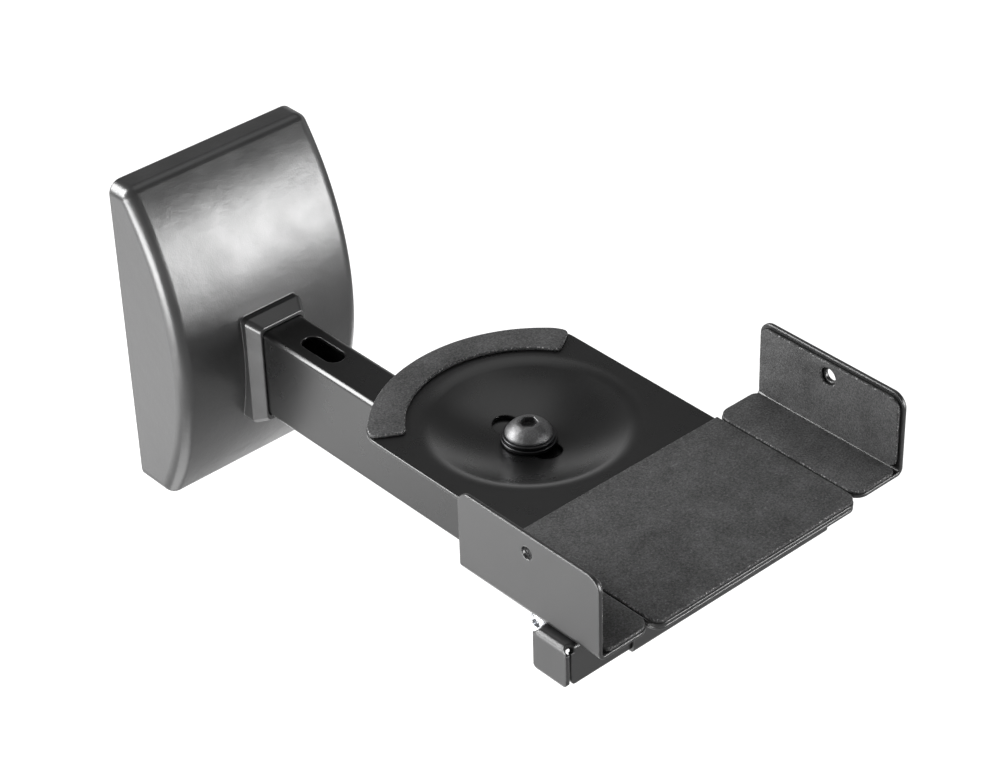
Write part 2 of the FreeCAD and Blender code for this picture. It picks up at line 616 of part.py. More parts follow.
def guideChannel():
    body = onClamp("guide_channel")
    hat = newSketch(body, "hatSection", "YZ_Plane")
    wall = guideWall
    brim = "(-trayThick - guideThick)"
    floor = "(%s - guideThick)" % guideFloor
    front = "-(%s + flangeFront)" % wall
    outline(hat, (
        (front, "-trayThick"), (front, brim), ("-" + wall, brim), ("-" + wall, floor),
        (wall, floor), (wall, brim), ("flangeRear", brim), ("flangeRear", "-trayThick"),
        (guideInside, "-trayThick"), (guideInside, guideFloor),
        ("-" + guideInside, guideFloor), ("-" + guideInside, "-trayThick")))
    pad(body, hat, "trayWidth - 2 * flangeEnd", symmetric=True)
    places = {"in": ((value(guideInside), value(guideFloor)), (value(wall), value(brim))),
              "out": ((value(wall), value(floor)), (value(guideInside), value("-trayThick")))}
    for name, size in (("in", "guideBend"), ("out", "guideBend + guideThick")):
        rounded(body, "hatBend" + name, size, lambda edge: along(edge, 0) and any(
            near(abs(middle(edge).y), y) and near(middle(edge).z, z) for y, z in places[name]))
    # the walls stop short of the flanges' ends
    ends = newSketch(body, "hatEnds", "XZ_Plane")
    for side in ("", "-"):
        box(ends, side + "(trayWidth / 2 - guideEnd)", side + "trayWidth", floor + " - guideThick",
            brim + " - guideThick - guideBend")
    pocket(body, ends, "3 * " + wall, symmetric=True)
    rounded(body, "flangeCorners", "trayCorner", lambda edge: along(edge, 2)
            and near(middle(edge).y, value(front)))
    # a tongue lanced out of the floor bears the clamp screw halfway
    window = newSketch(body, "tongueWindow", "XY_Plane", floor)
    box(window, "guideThick / 2", "guideThick / 2 + tongueWindow", "-tongueWidth / 2", "tongueWidth / 2")
    pocket(body, window, "guideThick", reverse=True)
    tongue = newSketch(body, "tongueFace", "YZ_Plane")
    outline(tongue, (
        ("tongueWidth / 2", guideFloor), ("tongueWidth / 2", "-clampDrop", "tongueWidth / 2", 1),
        ("0", "tongueWidth / 2 - clampDrop", "tongueWidth / 2", 1),
        ("-tongueWidth / 2", "-clampDrop"), ("-tongueWidth / 2", guideFloor)))
    pad(body, tongue, "guideThick", symmetric=True)
    bore = newSketch(body, "tongueBore", "YZ_Plane", "guideThick / 2")
    circle(bore, "0", "-clampDrop", "clampScrew + 2 * runClear")
    pocket(body, bore, "guideThick")
    return body


def slider(label, turned):
    body = onClamp(label, turned)
    outerY, innerY = "-" + sliderOut, "-sliderApart / 2"
    start = "(%s - sliderThick - tabSlit)" % tabReach
    section = newSketch(body, label + "Section", "YZ_Plane", "-" + start)
    outline(section, (
        (outerY, webTop), (outerY, sliderFoot), (outerY + " + sliderThick", sliderFoot),
        (outerY + " + sliderThick", webTop + " - sliderThick"),
        (innerY + " - sliderThick", webTop + " - sliderThick"),
        (innerY + " - sliderThick", sliderFoot), (innerY, sliderFoot), (innerY, webTop)))
    pad(body, section, start + " + sliderTail")
    inside = (value(innerY + " - sliderThick"), value(outerY + " + sliderThick"))
    outside = (value(innerY), value(outerY))
    rounded(body, label + "BendIn", "sliderBend", lambda edge: along(edge, 0)
            and near(middle(edge).z, value(webTop + " - sliderThick"))
            and any(near(middle(edge).y, y) for y in inside))
    rounded(body, label + "BendOut", "sliderBend + sliderThick", lambda edge: along(edge, 0)
            and near(middle(edge).z, value(webTop)) and any(near(middle(edge).y, y) for y in outside))
    # end tab, folded down from the web and cut free of the walls by a slit
    fold = newSketch(body, label + "Tab", "XZ_Plane", sliderOut)
    under = webTop + " - sliderThick"
    outline(fold, (
        ("-" + tabReach, webTop), ("-" + tabReach, sliderFoot),
        ("sliderThick - " + tabReach, sliderFoot), ("sliderThick - " + tabReach, under),
        ("-" + start, under), ("-" + start, webTop)))
    pad(body, fold, "sliderWidth", reverse=True)
    rounded(body, label + "TabOut", "sliderBend + sliderThick", lambda edge: along(edge, 1)
            and near(middle(edge).x, -value(tabReach)) and near(middle(edge).z, value(webTop)))
    rounded(body, label + "TabIn", "sliderBend", lambda edge: along(edge, 1)
            and near(middle(edge).x, value("sliderThick - " + tabReach))
            and near(middle(edge).z, value(under)))
    rounded(body, label + "TabCorners", "sliderThick", lambda edge: along(edge, 0)
            and middle(edge).x < value("sliderThick - " + tabReach)
            and near(middle(edge).z, value(sliderFoot)))
    rounded(body, label + "WallCorners", "sliderThick", lambda edge: along(edge, 1)
            and near(middle(edge).x, -value(start)) and near(middle(edge).z, value(sliderFoot)))
    # round reliefs where the tab's fold meets the folds of the walls
    relief = newSketch(body, label + "Relief", "XY_Plane", webTop)
    for y in (outerY, innerY):
        circle(relief, "-(%s + tabSlit / 2)" % start, y, "tabRelief")
    pocket(body, relief, "2 * sliderThick")
    # lug folded from the inner wall; the nut is welded to its outer face
    lug = newSketch(body, label + "Lug", "YZ_Plane", "-lugReach - sliderThick")
    box(lug, innerY + " - sliderThick / 2", innerY + " + lugWidth", sliderFoot, webTop + " - lugTop")
    pad(body, lug, "sliderThick")
    hole = newSketch(body, label + "LugHole", "YZ_Plane", "-lugReach")
    circle(hole, "0", "-clampDrop", "lugHole")
    pocket(body, hole, "sliderThick")
    return body


def jawPlate(label, turned):
    body = onClamp(label, turned)
    section = newSketch(body, label + "Section", "XZ_Plane")
    face = "-" + jawFace
    toe = "%s + %s" % (face, footWidth)
    outline(section, (
        (face, webTop), (toe, webTop), (toe, footTop),
        (face + " + jawThick", footTop), (face + " + jawThick", "jawRise"), (face, "jawRise")))
    pad(body, section, "jawLength", symmetric=True)
    rounded(body, label + "BendIn", "jawBend", lambda edge: along(edge, 1)
            and near(middle(edge).x, value(face + " + jawThick")) and near(middle(edge).z, value(footTop)))
    rounded(body, label + "BendOut", "jawBend + jawThick", lambda edge: along(edge, 1)
            and near(middle(edge).x, value(face)) and near(middle(edge).z, value(webTop)))
    rounded(body, label + "Top", "jawCorner", lambda edge: along(edge, 0)
            and near(middle(edge).z, value("jawRise")))
    rounded(body, label + "Foot", "footCorner", lambda edge: along(edge, 2)
            and near(middle(edge).x, value(toe)))
    # the sheet's arrises, not the lines where its folds and corners begin
    rounded(body, label + "Edges", "sheetEdge", lambda edge:
            not near(edge.Length, value("jawThick")) and (not along(edge, 1)
            or near(middle(edge).z, value("jawRise")) or near(middle(edge).x, value(toe))))
    hole = newSketch(body, label + "Hole", "YZ_Plane", face + " + jawThick")
    circle(hole, "0", "jawRise - jawHoleDrop", "jawHole")
    pocket(body, hole, "jawThick")
    return body


def sidePad(label, turned):
    body = onClamp(label, turned)
    face = newSketch(body, label + "Face", "YZ_Plane", "jawThick - jawSpan / 2")
    half = "(jawLength / 2 - sidePadSide)"
    low = "(%s + padThick + padGap)" % footTop
    high = "(jawRise - sidePadTop)"
    corner = "(jawCorner - sidePadSide)"
    heel = "(%s - padHeel)" % half
    outline(face, (
        ("-" + heel, low), (heel, low, "padHeel", 1), (half, low + " + padHeel"),
        (half, "%s - %s" % (high, corner), corner, 1), ("%s - %s" % (half, corner), high),
        ("%s - %s" % (corner, half), high, corner, 1), ("-" + half, "%s - %s" % (high, corner)),
        ("-" + half, low + " + padHeel", "padHeel", 1)))
    circle(face, "0", "jawRise - jawHoleDrop", "padHole")
    pad(body, face, "padThick")
    return body


def footPad(label, turned):
    body = onClamp(label, turned)
    face = newSketch(body, label + "Face", "XY_Plane", footTop)
    heel = "(jawThick + padThick + padGap - jawSpan / 2)"
    toe = "(%s - padInset - jawSpan / 2)" % footWidth
    half = "(jawLength / 2 - padInset)"
    corner = "(footCorner - padInset)"
    outline(face, (
        (heel + " + padHeel", "-" + half), ("%s - %s" % (toe, corner), "-" + half, corner, 1),
        (toe, "%s - %s" % (corner, half)), (toe, "%s - %s" % (half, corner), corner, 1),
        ("%s - %s" % (toe, corner), half), (heel + " + padHeel", half, "padHeel", 1),
        (heel, half + " - padHeel"), (heel, "padHeel - " + half, "padHeel", 1)))
    pad(body, face, "padThick")
    return body


def turnX(body, side):
    # lays a body that was made about Z along X, its top face outwards on that side
    body.Placement = FreeCAD.Placement(body.Placement.Base,
                                       FreeCAD.Rotation(FreeCAD.Vector(0, 1, 0), 90 * side))
    return body


def onScrew(body, side, reach):
    # seats a body on the clamp screw's axis, that far from the middle
    body.setExpression("Placement.Base.x", bound(("-(%s)" if side < 0 else "%s") % reach))
    body.setExpression("Placement.Base.y", bound("-pivotDepth - " + clampReach))
    body.setExpression("Placement.Base.z", bound("trayTop - clampDrop"))
    return turnX(body, side)


def clampNut(label, side):
    body = hexNut(label, "clampNut", "(clampScrew + 2 * runClear)", "clampNutHeight", "nutEdge")
    return onScrew(body, side, "lugReach + sliderThick")


def clip(label, side):
    # ring in the screw's groove; one each side of the tongue holds the screw lengthways
    body = washer(label, "clipRing", "clampScrew", "clipThick", "clipThick / 4")
    return onScrew(body, side, "guideThick / 2 + clipPlay")


def clampScrew():
    length = "(%s + %s - clampHeadHeight)" % (tailReach, headReach)
    body = newBody("clamp_screw")
    buttonScrew(body, "clampHead", "clampHeadHeight", "clampLand", "clampScrew", length,
                "clampTip", "clampKey", "clampKeyDepth")
    return onScrew(body, -1, headReach + " - clampHeadHeight")


def pivotScrew():
    below = "(%s - (%s) + underWasherThick + pivotNutHeight + pivotTip)" % (headSeat, tubeUnder)
    body = newBody("pivot_screw", y="-pivotDepth", z=headSeat)
    return buttonScrew(body, "pivotHead", "pivotHeadHeight", "pivotLand", "pivotScrew", below,
                       "pivotLand", "pivotKey", "pivotKeyDepth")


def pivotWashers():
    # the two under the head turn with the tray, the one below bears on the tube
    bore = "(pivotScrew + 2 * runClear)"
    lower = washer("pivot_washer_lower", "lowerWasher", bore, "washerThick", "washerEdge",
                   "-pivotDepth", washerSeat)
    upper = washer("pivot_washer_upper", "upperWasher", bore, "washerThick", "washerEdge",
                   "-pivotDepth", washerSeat + " + washerThick")
    under = washer("pivot_washer_under", "underWasher", "pivotBore", "underWasherThick",
                   "washerEdge", "-pivotDepth", tubeUnder + " - underWasherThick")
    return [lower, upper, under]


def pivotNut():
    body = hexNut("pivot_nut", "pivotNut", "(pivotScrew + 2 * runClear)", "pivotNutHeight", "nutEdge")
    body.setExpression("Placement.Base.y", bound("-pivotDepth"))
    body.setExpression("Placement.Base.z", bound(tubeUnder + " - underWasherThick - pivotNutHeight"))
    return body


parts = [wallPlate(), armTube(), armEndCap(), pivotSpacer(), pivotSeat(), pivotScrew(), pivotNut(),
         wallCover(), tray(), mainPad(), arcPad(), guideChannel(), clampScrew(),
         clip("clamp_clip_left", -1), clip("clamp_clip_right", 1)]
parts += pivotWashers()
for hand, side in (("left", -1), ("right", 1)):
    turned = side > 0
    parts += [jawPlate("jaw_" + hand, turned), sidePad("side_pad_" + hand, turned),
              footPad("foot_pad_" + hand, turned), slider("slider_" + hand, turned),
              clampNut("clamp_nut_" + hand, side)]
doc.recompute()

for item in doc.Objects:
    if "Invalid" in item.State or "Error" in item.State:
        raise RuntimeError("%s failed: %s" % (item.Name, item.State))
for item in parts:
    if item.Shape.isNull() or not item.Shape.isValid() or len(item.Shape.Solids) != 1:
        raise RuntimeError(item.Label + " is not one valid solid")
os.makedirs("parts", exist_ok=True)
for item in parts:
    item.Shape.exportStep("parts/%s.step" % item.Label)
    print("%-20s %9.1f mm3" % (item.Label, item.Shape.Volume))
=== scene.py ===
import math
import random

import bmesh
import bpy
from mathutils import Matrix, Vector


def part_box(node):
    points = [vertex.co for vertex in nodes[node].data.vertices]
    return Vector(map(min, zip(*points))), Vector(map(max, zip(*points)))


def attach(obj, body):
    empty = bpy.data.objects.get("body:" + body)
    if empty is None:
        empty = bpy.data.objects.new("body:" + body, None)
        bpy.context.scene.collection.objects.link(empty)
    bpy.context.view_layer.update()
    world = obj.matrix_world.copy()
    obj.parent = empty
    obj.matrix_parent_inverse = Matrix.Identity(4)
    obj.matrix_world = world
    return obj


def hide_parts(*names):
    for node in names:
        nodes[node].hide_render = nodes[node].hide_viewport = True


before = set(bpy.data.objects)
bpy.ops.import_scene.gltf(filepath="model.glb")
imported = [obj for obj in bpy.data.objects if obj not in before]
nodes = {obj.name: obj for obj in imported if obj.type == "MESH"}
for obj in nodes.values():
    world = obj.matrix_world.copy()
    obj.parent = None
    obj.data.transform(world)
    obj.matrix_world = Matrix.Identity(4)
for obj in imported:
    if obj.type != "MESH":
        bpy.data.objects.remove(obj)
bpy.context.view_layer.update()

scene = bpy.context.scene


def say(stage):
    print("stage:", stage, flush=True)


# camera

view = dict(
    azimuth=-41.2566,                        # degrees round the bracket, 0 looks along +Y
    elevation=34.8011,
    roll=-1.7049,
    place=(-0.560246, -0.813081, 0.632952),
    lens=103.097,
    sensor=36.0,
    sees=(0.05, 60.0),                       # nearest and furthest distance
)


def placeCamera():
    a, e, r = (math.radians(view[k]) for k in ("azimuth", "elevation", "roll"))
    back = Vector((math.sin(a) * math.cos(e), -math.cos(a) * math.cos(e), math.sin(e)))
    right = Vector((math.cos(a), math.sin(a), 0))
    up = back.cross(right)
    across = right * math.cos(r) + up * math.sin(r)
    upward = up * math.cos(r) - right * math.sin(r)
    data = bpy.data.cameras.new("photoView")
    data.lens = view["lens"]
    data.sensor_width = view["sensor"]
    data.clip_start, data.clip_end = view["sees"]
    camera = bpy.data.objects.new("photoView", data)
    turn = Matrix((across, upward, back)).transposed().to_4x4()
    camera.matrix_world = Matrix.Translation(view["place"]) @ turn
    scene.collection.objects.link(camera)
    scene.camera = camera


placeCamera()
scene.view_settings.view_transform = "Standard"
say("camera")


# node helpers

class Tree:
    def __init__(self, tree):
        self.tree = tree

    def add(self, kind, **values):
        node = self.tree.nodes.new(kind)
        for name, value in values.items():
            if hasattr(node, name):
                setattr(node, name, value)
            else:
                node.inputs[name.replace("_", " ")].default_value = value
        return node

    def link(self, source, target):
        self.tree.links.new(source, target)

    def feed(self, socket, value):
        if isinstance(value, bpy.types.NodeSocket):
            self.link(value, socket)
        else:
            socket.default_value = value

    def math(self, operation, *values, clamp=False):
        node = self.tree.nodes.new("ShaderNodeMath")
        node.operation = operation
        node.use_clamp = clamp
        for socket, value in zip(node.inputs, values):
            self.feed(socket, value)
        return node.outputs[0]

    def mix(self, factor, a, b, blend="MIX"):
        node = self.tree.nodes.new("ShaderNodeMix")
        node.data_type = "RGBA"
        node.blend_type = blend
        for socket, value in ((node.inputs[0], factor), (node.inputs[6], a), (node.inputs[7], b)):
            self.feed(socket, value)
        return node.outputs[2]

    def spread(self, value, low, high, toLow=0.0, toHigh=1.0):
        node = self.tree.nodes.new("ShaderNodeMapRange")
        node.interpolation_type = "SMOOTHSTEP"
        for socket, given in zip(node.inputs, (value, low, high, toLow, toHigh)):
            self.feed(socket, given)
        return node.outputs[0]

    def noise(self, place, scale, detail=2.0, roughness=0.5):
        node = self.tree.nodes.new("ShaderNodeTexNoise")
        self.link(place, node.inputs["Vector"])
        self.feed(node.inputs["Scale"], scale)
        node.inputs["Detail"].default_value = detail
        node.inputs["Roughness"].default_value = roughness
        return node.outputs["Fac"]


def newGroup(name, inputs, outputs):
    group = bpy.data.node_groups.new(name, "ShaderNodeTree")
    for label, kind, value in inputs:
        socket = group.interface.new_socket(label, in_out="INPUT", socket_type=kind)
        socket.default_value = value
    for label, kind in outputs:
        group.interface.new_socket(label, in_out="OUTPUT", socket_type=kind)
    tree = Tree(group)
    return group, tree, tree.add("NodeGroupInput").outputs, tree.add("NodeGroupOutput").inputs


number, colour, direction = "NodeSocketFloat", "NodeSocketColor", "NodeSocketVector"


# fine skin of a coat or moulding: faint mottling of colour and gloss, and the height of its grain

def makeSkin():
    group, tree, given, out = newGroup(
        "fineSkin",
        [("Color", colour, (0.03, 0.03, 0.03, 1)), ("Roughness", number, 0.4),
         ("Grain Scale", number, 2500.0), ("Mottle Scale", number, 60.0),
         ("Mottle", number, 0.15), ("Gloss Change", number, 0.05), ("Wave", number, 0.0)],
        [("Color", colour), ("Roughness", number), ("Height", number)],
    )
    place = tree.add("ShaderNodeTexCoord").outputs["Object"]
    grain = tree.noise(place, given["Grain Scale"], 2.0, 0.6)
    mottle = tree.noise(place, given["Mottle Scale"], 4.0, 0.55)
    lift = tree.math("MULTIPLY_ADD", tree.math("SUBTRACT", mottle, 0.5), given["Mottle"], 1.0)
    speck = tree.math("MULTIPLY_ADD", tree.math("SUBTRACT", grain, 0.5), given["Mottle"], lift)
    scaled = tree.add("ShaderNodeVectorMath", operation="SCALE")
    tree.link(given["Color"], scaled.inputs[0])
    tree.link(speck, scaled.inputs["Scale"])
    tree.link(scaled.outputs[0], out["Color"])
    change = tree.math("MULTIPLY", tree.math("SUBTRACT", mottle, 0.5), given["Gloss Change"])
    tree.link(tree.math("ADD", given["Roughness"], change, clamp=True), out["Roughness"])
    tree.link(tree.math("MULTIPLY_ADD", mottle, given["Wave"], grain), out["Height"])
    return group


# mask of the outer arrises of a piece, along which a paler highlight is painted, and the normal
# that runs softly over them

arrisShape = dict(samples=8, bend=(0.02, 0.18), broken=(0.35, 0.62))


def makeArris():
    group, tree, given, out = newGroup(
        "arrisPaintedHighlight",
        [("Width", number, 0.0005), ("Break Scale", number, 300.0), ("Amount", number, 1.0)],
        [("Mask", number), ("Normal", direction)],
    )
    bevel = tree.add("ShaderNodeBevel", samples=arrisShape["samples"])
    tree.link(given["Width"], bevel.inputs["Radius"])
    tree.link(bevel.outputs[0], out["Normal"])
    geometry = tree.add("ShaderNodeNewGeometry")
    dot = tree.add("ShaderNodeVectorMath", operation="DOT_PRODUCT")
    tree.link(bevel.outputs[0], dot.inputs[0])
    tree.link(geometry.outputs["True Normal"], dot.inputs[1])
    bend = tree.spread(tree.math("SUBTRACT", 1.0, dot.outputs["Value"]), *arrisShape["bend"])
    place = tree.add("ShaderNodeTexCoord").outputs["Object"]
    broken = tree.spread(tree.noise(place, given["Break Scale"], 3.0, 0.6), *arrisShape["broken"])
    # painted highlight: the mask marks the arrises to be painted paler
    paintedHighlight = tree.math("MULTIPLY", tree.math("MULTIPLY", bend, broken), given["Amount"])
    tree.link(paintedHighlight, out["Mask"])
    return group


skinGroup = makeSkin()
arrisGroup = makeArris()


def useGroup(tree, group, **values):
    node = tree.tree.nodes.new("ShaderNodeGroup")
    node.node_tree = group
    for name, value in values.items():
        node.inputs[name.replace("_", " ")].default_value = value
    return node


def useSkin(tree, look):
    return useGroup(tree, skinGroup, Color=(*look["color"], 1), Roughness=look["roughness"],
                    Grain_Scale=look["grain"], Mottle_Scale=look["mottleScale"],
                    Mottle=look["mottle"], Gloss_Change=look["glossChange"], Wave=look["wave"])


def newMaterial(name):
    material = bpy.data.materials.new(name)
    material.use_nodes = True
    material.node_tree.nodes.clear()
    tree = Tree(material.node_tree)
    shader = tree.add("ShaderNodeBsdfPrincipled")
    out = tree.add("ShaderNodeOutputMaterial")
    tree.link(shader.outputs[0], out.inputs[0])
    return material, tree, shader


def bumped(tree, height, strength, distance, normal=None):
    bump = tree.add("ShaderNodeBump")
    bump.inputs["Strength"].default_value = strength
    bump.inputs["Distance"].default_value = distance
    tree.link(height, bump.inputs["Height"])
    if normal is not None:
        tree.link(normal, bump.inputs["Normal"])
    return bump.outputs[0]


def coated(name, look):
    material, tree, shader = newMaterial(name)
    skin = useSkin(tree, look)
    arris = useGroup(tree, arrisGroup, Width=look["arris"], Amount=look["highlightAmount"])
    # painted highlight: a paler colour is mixed onto the arrises
    paintedHighlight = tree.mix(arris.outputs["Mask"], skin.outputs["Color"], (*look["paintedHighlight"], 1))
    tree.link(paintedHighlight, shader.inputs["Base Color"])
    tree.link(skin.outputs["Roughness"], shader.inputs["Roughness"])
    shader.inputs["Metallic"].default_value = look["metallic"]
    shader.inputs["Specular IOR Level"].default_value = look["specular"]
    relief = bumped(tree, skin.outputs["Height"], look["relief"], look["depth"],
                    arris.outputs["Normal"])
    tree.link(relief, shader.inputs["Normal"])
    return material


# coats and metals: wave adds the mottling to the height, arris is how wide the soft edge normal and
# the painted edge highlight run

coverPlastic = dict(color=(0.020, 0.020, 0.0203), roughness=0.32, grain=1700, mottleScale=70,
                    mottle=0.5, glossChange=0.16, wave=7.0, arris=0.0006, highlightAmount=0.0,
                    paintedHighlight=(0.2, 0.2, 0.2), metallic=0.0, specular=0.95, relief=0.16, depth=0.0002)
capPlastic = dict(coverPlastic, color=(0.020, 0.020, 0.020), roughness=0.5)
blackCoat = dict(color=(0.004, 0.004, 0.0041), roughness=0.28, grain=1800, mottleScale=90,
                 mottle=0.3, glossChange=0.06, wave=0.0, arris=0.0007, highlightAmount=0.15,
                 paintedHighlight=(0.16, 0.16, 0.16), metallic=0.0, specular=0.75, relief=0.06, depth=0.0002)
jawCoat = dict(blackCoat, color=(0.014, 0.014, 0.0143), roughness=0.31, arris=0.0009, highlightAmount=0.3,
               paintedHighlight=(0.26, 0.26, 0.26))
darkSteel = dict(color=(0.06, 0.06, 0.062), roughness=0.38, grain=2200, mottleScale=260,
                 mottle=0.7, glossChange=0.18, wave=0.0, arris=0.0004, highlightAmount=0.5,
                 paintedHighlight=(0.5, 0.5, 0.5), metallic=1.0, specular=0.5, relief=0.12, depth=0.0002)
headSteel = dict(darkSteel, color=(0.17, 0.17, 0.172), roughness=0.50, mottle=1.3, relief=0.4)
brightZinc = dict(darkSteel, color=(0.62, 0.63, 0.65), roughness=0.24, mottle=0.25,
                  paintedHighlight=(0.8, 0.8, 0.8))

looks = dict(coverPlastic=coverPlastic, capPlastic=capPlastic, blackCoat=blackCoat,
             jawCoat=jawCoat, darkSteel=darkSteel, headSteel=headSteel, brightZinc=brightZinc)
finishes = {name: coated(name, look) for name, look in looks.items()}


# pads: charcoal foam sheet, finely pitted, with a paler cut edge and painted shade darkening the
# foot of its side wall

padLook = dict(
    color=(0.066, 0.066, 0.0665), roughness=0.82, specular=0.2,
    grain=1150, mottleScale=100.0, mottle=1.1, glossChange=0.2, wave=0.0,
    pits=2300, pitDepth=0.6, relief=0.35, depth=0.00025,
    nap=1500, napReach=(0.32, 0.68), napTone=(0.72, 1.28),
    paintedWallShade=0.85, paintedShadeLimit=0.05,                 # painted shade: how far the lower side wall is darkened where the pad sits on the part under it, and the darkest it gets
    pale=(0.60, 0.60, 0.60), edge=0.8,       # cut edge
    specks=1500.0, speckReach=(0.52, 0.72),
    dust=0.10, dustReach=(0.62, 0.8),
)


def padFoam():
    material, tree, shader = newMaterial("padFoam")
    skin = useSkin(tree, padLook)
    place = tree.add("ShaderNodeTexCoord").outputs["Object"]
    cut = tree.add("ShaderNodeAttribute", attribute_name="cutEdgeAndShade").outputs["Fac"]
    pits = tree.noise(place, padLook["pits"], 1.0, 0.5)
    specks = tree.spread(tree.noise(place, padLook["specks"], 2.0, 0.7), *padLook["speckReach"])
    ragged = tree.math("MULTIPLY", specks, tree.math("MAXIMUM", cut, 0.0))
    dust = tree.math("MULTIPLY", tree.spread(pits, *padLook["dustReach"]), padLook["dust"])
    pale = tree.math("ADD", tree.math("MULTIPLY", ragged, padLook["edge"]), dust, clamp=True)
    nap = tree.spread(tree.noise(place, padLook["nap"], 2.0, 0.75),
                      *padLook["napReach"], *padLook["napTone"])
    # painted shade: marks below zero darken the lower side wall where the pad meets the part under
    # it
    paintedWallShade = tree.math("MULTIPLY_ADD", tree.math("MINIMUM", cut, 0.0), padLook["paintedWallShade"], nap)
    shade = tree.math("MAXIMUM", paintedWallShade, padLook["paintedShadeLimit"])
    napped = tree.mix(1.0, skin.outputs["Color"], shade, blend="MULTIPLY")
    tree.link(tree.mix(pale, napped, (*padLook["pale"], 1)), shader.inputs["Base Color"])
    tree.link(skin.outputs["Roughness"], shader.inputs["Roughness"])
    shader.inputs["Specular IOR Level"].default_value = padLook["specular"]
    pitted = tree.math("MULTIPLY", pits, padLook["pitDepth"])
    height = tree.math("ADD", pitted, skin.outputs["Height"])
    tree.link(bumped(tree, height, padLook["relief"], padLook["depth"]), shader.inputs["Normal"])
    return material


finishes["padFoam"] = padFoam()
say("materials")


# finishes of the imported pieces

dressing = {
    "wall_cover": "coverPlastic",
    "arm_end_cap": "capPlastic",
    "wall_plate": "blackCoat",
    "arm_tube": "blackCoat",
    "pivot_seat": "blackCoat",
    "tray": "blackCoat",
    "guide_channel": "jawCoat",
    "slider_left": "jawCoat",
    "slider_right": "jawCoat",
    "jaw_left": "jawCoat",
    "jaw_right": "jawCoat",
    "pivot_screw": "headSteel",
    "pivot_nut": "darkSteel",
    "pivot_washer_upper": "darkSteel",
    "pivot_washer_lower": "darkSteel",
    "pivot_washer_under": "darkSteel",
    "pivot_spacer": "brightZinc",
    "clamp_screw": "brightZinc",
    "clamp_clip_left": "brightZinc",
    "clamp_clip_right": "brightZinc",
    "clamp_nut_left": "brightZinc",
    "clamp_nut_right": "brightZinc",
}

for name, finish in dressing.items():
    node = nodes[name]
    node.data.materials.clear()
    node.data.materials.append(finishes[finish])
say("packed pieces dressed")


# pads built on the outline of their flat face

padShape = dict(
    step=0.0009,                             # between points of the outline
    soft=0.00045,                            # how far the top edge is rounded over
    # shares of soft that each ring lies in from the wall and down from the top, and its mark for
    # the pale cut edge
    round=((0.0, 1.0, 0.8), (0.13, 0.5, 1.0), (0.5, 0.13, 0.4), (1.0, 0.0, 0.0)),
    wall=-1.0,                               # mark at the foot of the side wall: below zero, it paints shade there
    rough=0.00010,                           # raggedness of the cut
    waves=5, swing=(0.2, 1), turns=(5, 40), phase=(0, 6.28), jitter=0.5,
    seed=11,
    fill=0.5,
)

# the way each pad's top looks, and the body it rides on
pads = {
    "main_pad": ((0, 0, 1), "tray"),
    "arc_pad": ((0, 0, 1), "tray"),
    "foot_pad_left": ((0, 0, 1), "jaw_left"),
    "foot_pad_right": ((0, 0, 1), "jaw_right"),
    "side_pad_left": ((1, 0, 0), "jaw_left"),
    "side_pad_right": ((-1, 0, 0), "jaw_right"),
}
weld, flatness = 1e-6, 2e-5                  # metres


def faceLoops(node, facing):
    # ordered outline points of the flat face that looks along facing
    mesh = bmesh.new()
    mesh.from_mesh(node.data)
    bmesh.ops.remove_doubles(mesh, verts=mesh.verts, dist=weld)
    top = max(v.co.dot(facing) for v in mesh.verts)
    flat = {f for f in mesh.faces
            if all(abs(v.co.dot(facing) - top) < flatness for v in f.verts)}
    rim = [e for e in mesh.edges if sum(f in flat for f in e.link_faces) == 1]
    nextTo = {}
    for e in rim:
        for v in e.verts:
            nextTo.setdefault(v, []).append(e.other_vert(v))
    loops, seen = [], set()
    for start in nextTo:
        if start in seen:
            continue
        loop, last, here = [start], None, start
        seen.add(start)
        while True:
            onward = [v for v in nextTo[here] if v is not last and v not in seen]
            if not onward:
                break
            last, here = here, onward[0]
            seen.add(here)
            loop.append(here)
        loops.append([v.co.copy() for v in loop])
    low = min(v.co.dot(facing) for v in mesh.verts)
    mesh.free()
    return loops, low, top


def evenPoints(loop, step):
    points = []
    for a, b in zip(loop, loop[1:] + loop[:1]):
        count = max(1, round((b - a).length / step))
        points += [a.lerp(b, i / count) for i in range(count)]
    return points


def outlines(loops, across, along):
    # (area, turns left, flat points) of each outline, the outer one first
    found = []
    for loop in loops:
        points = [(p.dot(across), p.dot(along)) for p in evenPoints(loop, padShape["step"])]
        area = sum(a[0] * b[1] - b[0] * a[1] for a, b in zip(points, points[1:] + points[:1]))
        found.append((abs(area), area > 0, points))
    return sorted(found, key=lambda item: -item[0])


def finishMesh(mesh, name):
    bmesh.ops.recalc_face_normals(mesh, faces=mesh.faces)
    for face in mesh.faces:
        face.smooth = True
    made = bpy.data.meshes.new(name)
    mesh.to_mesh(made)
    mesh.free()
    return made


def addPiece(name, made, finish, body, stands):
    piece = bpy.data.objects.new(name, made)
    scene.collection.objects.link(piece)
    made.materials.append(finishes[finish])
    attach(piece, body)
    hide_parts(stands)
    return piece


